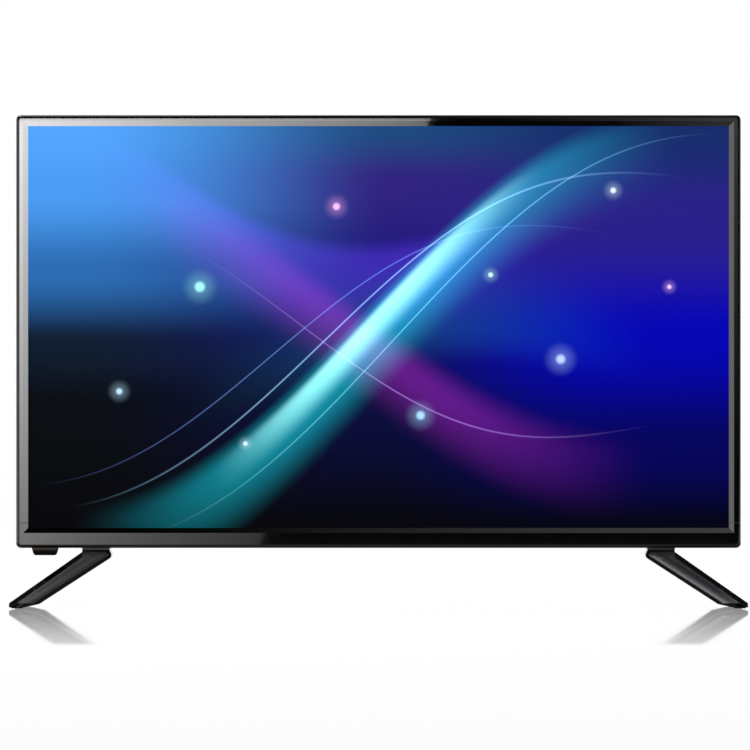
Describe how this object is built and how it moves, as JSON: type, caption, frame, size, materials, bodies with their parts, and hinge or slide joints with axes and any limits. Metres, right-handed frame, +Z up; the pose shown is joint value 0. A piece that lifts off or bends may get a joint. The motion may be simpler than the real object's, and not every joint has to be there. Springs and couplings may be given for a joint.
{
  "type": "flat screen television",
  "caption": "Flat screen television with a thin gloss bezel on two splayed feet, with a vented rear housing, socket bays and press keys on its edge.",
  "frame": {"origin": "on the table, at the middle between the four foot pads", "axes": "+X to the viewer's right along the screen, +Y away from the viewer through the set, +Z up"},
  "size_m": [0.7346, 0.19, 0.492],
  "materials": {
    "gloss_black": "polished injection moulding",
    "glass": "satin front polariser",
    "dark_moulding": "fine matt moulding",
    "film": "milky film",
    "white_sheet": "matt white",
    "board_metal": "aluminium-cored strip",
    "clear_plastic": "clear moulding",
    "galvanised_steel": "galvanised sheet",
    "green_board": "lacquered circuit board",
    "lead_sheath": "ribbon and flat lead sheath",
    "white_moulding": "satin moulding",
    "plated_shell": "nickel plating",
    "yellow_moulding": "satin moulding",
    "red_moulding": "satin moulding",
    "blue_moulding": "satin moulding",
    "wound_coil": "taped windings",
    "sleeve": "shrunk sleeve",
    "bare_aluminium": "extruded",
    "brass_pin": "turned",
    "cone_paper": "treated cone",
    "foam": "open foam",
    "smoked_window": "smoked moulding",
    "red_lamp": "tinted moulding",
    "textured_black": "spark-eroded texture",
    "zinc_steel": "zinc plating",
    "grey_seat": "satin moulding",
    "pad_rubber": "moulded rubber",
    "black_screw": "black oxide",
    "key_moulding": "satin moulding"
  },
  "bodies": {
    "television": {"front_bezel": "gloss_black", "lcd_cell": "glass", "middle_frame": "dark_moulding", "optical_sheets": "film", "diffuser_plate": "film", "reflector_sheet": "white_sheet", "led_bars": "board_metal", "led_lenses": "clear_plastic", "diffuser_posts": "clear_plastic", "back_tray": "galvanised_steel", "source_board": "green_board", "timing_board": "green_board", "flat_leads": "lead_sheath", "main_board": "green_board", "main_board_chips": "dark_moulding", "board_headers": "white_moulding", "hdmi_sockets": "plated_shell", "usb_sockets": "plated_shell", "phones_socket": "dark_moulding", "av_block": "dark_moulding", "av_barrels": "plated_shell", "av_yellow": "yellow_moulding", "av_white": "white_moulding", "av_red": "red_moulding", "aerial_socket": "plated_shell", "vga_socket": "blue_moulding", "terminal_panels": "dark_moulding", "power_board": "green_board", "power_coils": "wound_coil", "bulk_capacitor": "sleeve", "heat_sinks": "bare_aluminium", "mains_inlet": "dark_moulding", "inlet_pins": "brass_pin", "speaker_boxes": "dark_moulding", "speaker_drivers": "cone_paper", "speaker_gaskets": "foam", "key_board": "green_board", "tact_switches": "dark_moulding", "key_carrier": "dark_moulding", "ir_pod": "smoked_window", "ir_board": "green_board", "ir_receiver": "dark_moulding", "status_led": "red_lamp", "rear_cover": "textured_black", "vesa_posts": "zinc_steel", "foot_right": "gloss_black", "foot_left": "gloss_black", "foot_collars": "grey_seat", "foot_pads": "pad_rubber", "foot_brackets": "galvanised_steel", "foot_screws": "black_screw", "cover_screws": "black_screw", "board_screws": "zinc_steel"},
    "key_power": {"key_power": "key_moulding"},
    "key_source": {"key_source": "key_moulding"},
    "key_menu": {"key_menu": "key_moulding"},
    "key_channel_up": {"key_channel_up": "key_moulding"},
    "key_channel_down": {"key_channel_down": "key_moulding"},
    "key_volume_up": {"key_volume_up": "key_moulding"},
    "key_volume_down": {"key_volume_down": "key_moulding"}
  },
  "joints": [
    {"name": "power_press", "type": "slide", "parent": "television", "child": "key_power", "axis": [-1, 0, 0], "range_m": [0, 0.0005], "stiffness_N_per_m": 1500},
    {"name": "source_press", "type": "slide", "parent": "television", "child": "key_source", "axis": [-1, 0, 0], "range_m": [0, 0.0005], "stiffness_N_per_m": 1500},
    {"name": "menu_press", "type": "slide", "parent": "television", "child": "key_menu", "axis": [-1, 0, 0], "range_m": [0, 0.0005], "stiffness_N_per_m": 1500},
    {"name": "channel_up_press", "type": "slide", "parent": "television", "child": "key_channel_up", "axis": [-1, 0, 0], "range_m": [0, 0.0005], "stiffness_N_per_m": 1500},
    {"name": "channel_down_press", "type": "slide", "parent": "television", "child": "key_channel_down", "axis": [-1, 0, 0], "range_m": [0, 0.0005], "stiffness_N_per_m": 1500},
    {"name": "volume_up_press", "type": "slide", "parent": "television", "child": "key_volume_up", "axis": [-1, 0, 0], "range_m": [0, 0.0005], "stiffness_N_per_m": 1500},
    {"name": "volume_down_press", "type": "slide", "parent": "television", "child": "key_volume_down", "axis": [-1, 0, 0], "range_m": [0, 0.0005], "stiffness_N_per_m": 1500}
  ]
}
